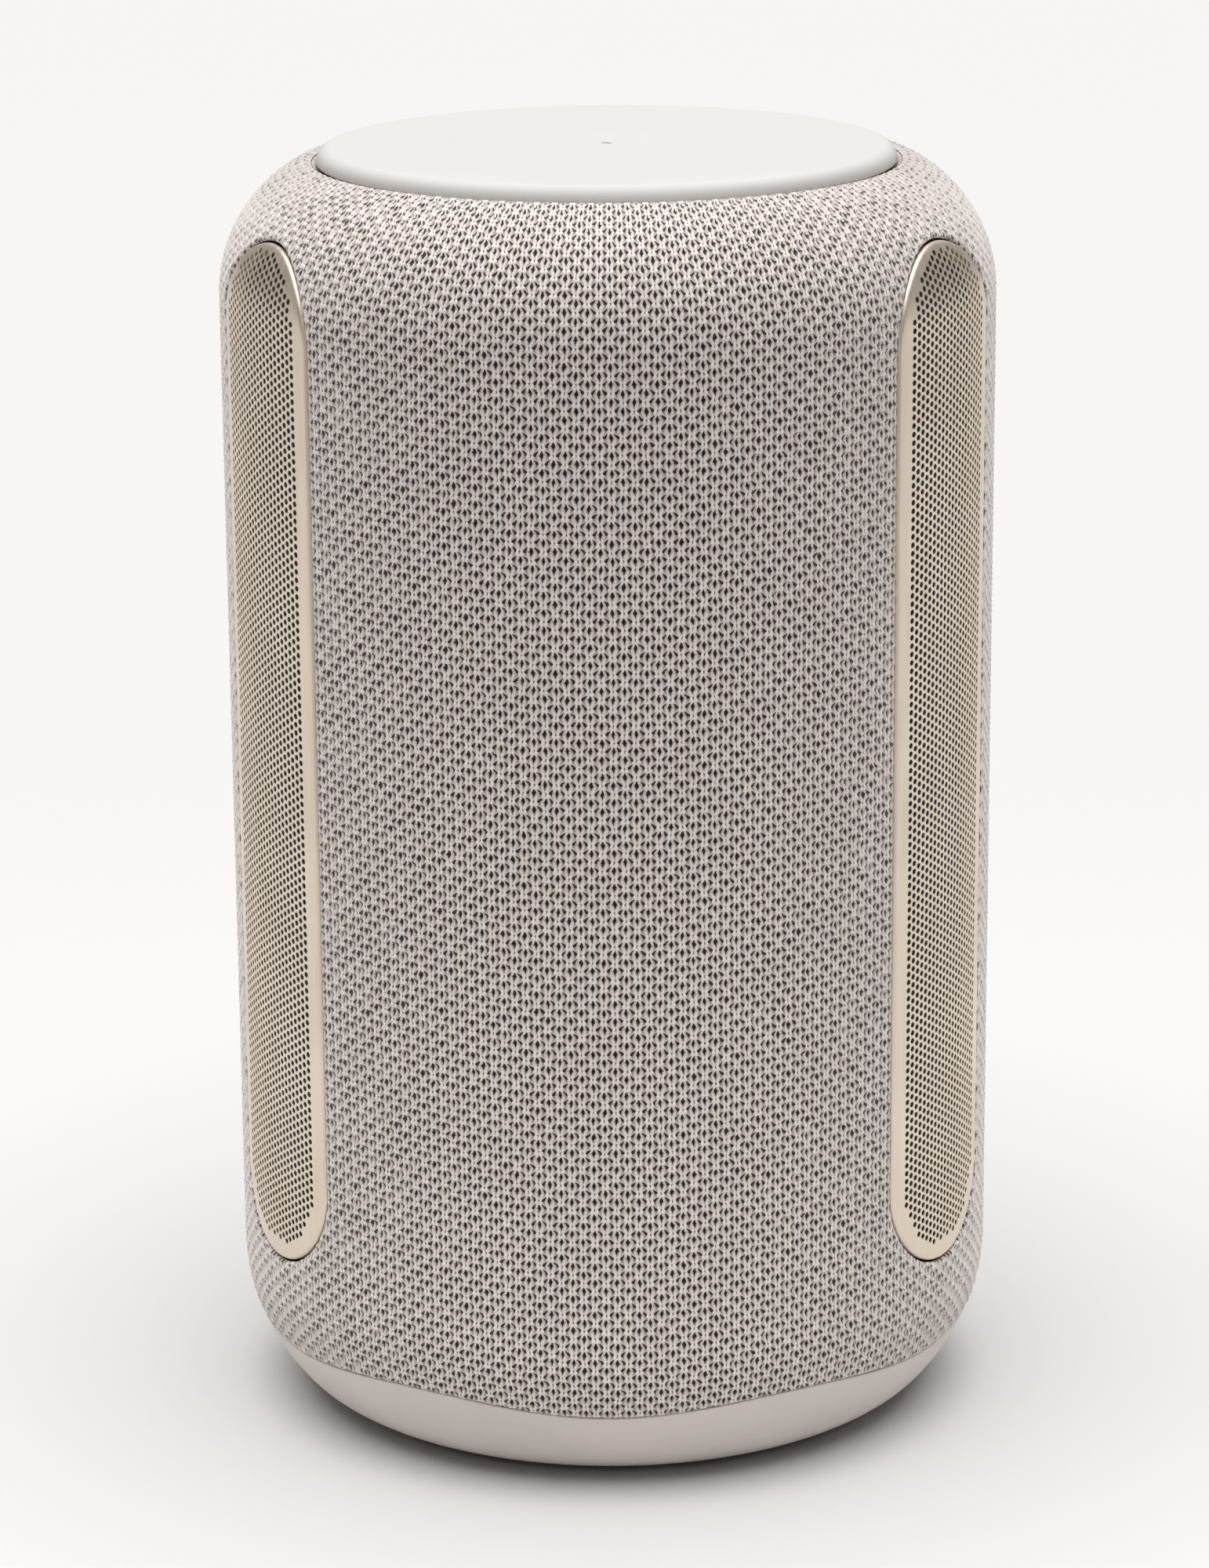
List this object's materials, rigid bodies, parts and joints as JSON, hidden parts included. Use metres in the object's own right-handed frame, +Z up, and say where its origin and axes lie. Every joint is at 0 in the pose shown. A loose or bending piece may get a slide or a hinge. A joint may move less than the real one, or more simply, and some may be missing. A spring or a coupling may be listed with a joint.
{
  "type": "smart speaker",
  "caption": "Upright cylindrical smart speaker with a knitted sleeve, two tall perforated metal side grilles, a flat touch top and a rear socket panel.",
  "frame": {"origin": "on the ground under the centre of the round foot", "axes": "+Z up, front towards -Y, sockets at the back towards +Y, +X to the right of someone who faces the front"},
  "size_m": [0.148, 0.148, 0.247],
  "materials": {
    "knit": "light warm grey knit, soft and matt",
    "gold_metal": "champagne anodised, satin",
    "top_plastic": "fine satin, off white",
    "base_plastic": "satin, light grey",
    "trim_brown": "satin",
    "light_lens": "clear, moulded",
    "dark_plastic": "fine moulded grain",
    "frame_plastic": "fine moulded grain",
    "cabinet_plastic": "coarse moulded grain",
    "panel_plastic": "satin, light grey",
    "socket_plastic": "fine moulded grain",
    "foot_rubber": "matt",
    "gasket_rubber": "matt foam",
    "surround_rubber": "satin",
    "sound_cloth": "fine black acoustic cloth",
    "spider_cloth": "resin dipped, corrugated",
    "cone_paper": "pressed pulp",
    "basket_steel": "black powder coat",
    "bright_steel": "zinc plated",
    "ferrite": "ground ferrite",
    "copper": "bright",
    "dome_metal": "brushed",
    "heat_sink_metal": "extruded",
    "circuit_board": "solder mask",
    "board_parts": "moulded and taped",
    "cable_plastic": "soft, flexible"
  },
  "bodies": {
    "root": {"top_plate": "top_plastic", "top_ring": "trim_brown", "light_pipe": "light_lens", "status_led": "light_lens", "touch_board": "circuit_board", "microphones": "bright_steel", "top_deck": "dark_plastic", "deck_pillars": "dark_plastic", "diffuser": "dark_plastic", "fabric_sleeve": "knit", "front_frame": "frame_plastic", "rear_frame": "frame_plastic", "grille_left": "gold_metal", "grille_right": "gold_metal", "grille_backing_left": "sound_cloth", "grille_backing_right": "sound_cloth", "cabinet_tub": "cabinet_plastic", "cabinet_gasket": "gasket_rubber", "baffle_plate": "cabinet_plastic", "woofer_basket": "basket_steel", "woofer_surround": "surround_rubber", "woofer_spider": "spider_cloth", "woofer_washer": "bright_steel", "woofer_magnet": "ferrite", "woofer_yoke": "bright_steel", "tweeter_pod_left": "dark_plastic", "tweeter_pod_right": "dark_plastic", "tweeter_magnet_left": "bright_steel", "tweeter_magnet_right": "bright_steel", "radiator_frame_left": "dark_plastic", "radiator_frame_right": "dark_plastic", "radiator_surround_left": "surround_rubber", "radiator_surround_right": "surround_rubber", "base_shell": "base_plastic", "base_cover": "dark_plastic", "foot_ring": "foot_rubber", "rear_panel": "panel_plastic", "panel_bezel": "panel_plastic", "mains_inlet": "socket_plastic", "inlet_pins": "bright_steel", "audio_jack": "socket_plastic", "power_board": "circuit_board", "power_parts": "board_parts", "board_standoffs": "copper", "main_board": "circuit_board", "heat_sink": "heat_sink_metal", "ribbon_cable": "cable_plastic", "terminal_block": "dark_plastic", "speaker_leads": "cable_plastic", "machine_screws": "bright_steel", "driver_screws": "bright_steel"},
    "woofer_cone": {"woofer_cone": "cone_paper", "woofer_dust_cap": "cone_paper", "voice_coil": "copper"},
    "tweeter_left": {"tweeter_dome_left": "dome_metal"},
    "tweeter_right": {"tweeter_dome_right": "dome_metal"},
    "radiator_left": {"radiator_plate_left": "dome_metal"},
    "radiator_right": {"radiator_plate_right": "dome_metal"},
    "mute_switch": {"mute_switch": "top_plastic"},
    "pairing_button": {"pairing_button": "top_plastic"}
  },
  "joints": [
    {"name": "woofer_cone_travel", "type": "slide", "parent": "root", "child": "woofer_cone", "axis": [0, 0, 1], "range_m": [-0.003, 0.003], "stiffness_N_per_m": 2000, "deforming": ["woofer_surround", "woofer_spider"]},
    {"name": "tweeter_left_travel", "type": "slide", "parent": "root", "child": "tweeter_left", "axis": [-0.8746, -0.4848, 0], "range_m": [-0.0003, 0.0003], "stiffness_N_per_m": 1500},
    {"name": "tweeter_right_travel", "type": "slide", "parent": "root", "child": "tweeter_right", "axis": [0.8746, -0.4848, 0], "range_m": [-0.0003, 0.0003], "stiffness_N_per_m": 1500},
    {"name": "radiator_left_travel", "type": "slide", "parent": "root", "child": "radiator_left", "axis": [-0.8746, -0.4848, 0], "range_m": [-0.003, 0.003], "stiffness_N_per_m": 1000, "deforming": ["radiator_surround_left"]},
    {"name": "radiator_right_travel", "type": "slide", "parent": "root", "child": "radiator_right", "axis": [0.8746, -0.4848, 0], "range_m": [-0.003, 0.003], "stiffness_N_per_m": 1000, "deforming": ["radiator_surround_right"]},
    {"name": "mute_switch_slide", "type": "slide", "parent": "root", "child": "mute_switch", "axis": [1, 0, 0], "range_m": [0, 0.003]},
    {"name": "pairing_button_press", "type": "slide", "parent": "root", "child": "pairing_button", "axis": [0, -1, 0], "range_m": [0, 0.0006], "stiffness_N_per_m": 1500}
  ]
}
